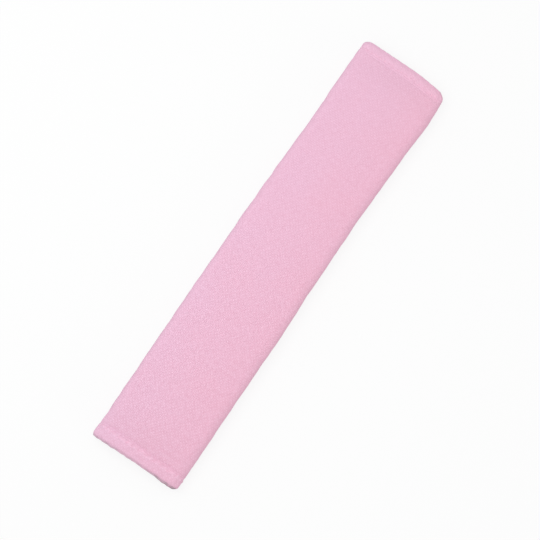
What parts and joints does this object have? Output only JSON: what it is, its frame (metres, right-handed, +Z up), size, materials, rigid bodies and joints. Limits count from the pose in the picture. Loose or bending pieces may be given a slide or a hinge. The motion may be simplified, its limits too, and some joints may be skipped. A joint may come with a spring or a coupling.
{
  "type": "seat belt shoulder pad",
  "caption": "Padded cloth sleeve that wraps round a seat belt webbing and closes underneath with hook and loop flaps.",
  "frame": {"origin": "bottom centre of the closed pad's box, on the surface that it lies on", "axes": "+X along the belt, towards the end with the narrower hem; +Z up, out of the padded front"},
  "size_m": [0.29, 0.0604, 0.0157],
  "materials": {
    "cover_cloth": "pink plain-woven cloth, matt, fine low-contrast weave",
    "foam": "open-cell foam sheet, matt",
    "lining_cloth": "pale pink knitted cloth, matt",
    "loop_pile": "pink brushed loop pile, matt",
    "hook_nylon": "pink woven nylon tape with fine hooks, slightly glossy"
  },
  "bodies": {
    "root": {"outer_cover": "cover_cloth", "foam_padding": "foam", "inner_lining": "lining_cloth", "loop_tape": "loop_pile", "hook_tape": "hook_nylon"}
  },
  "joints": []
}
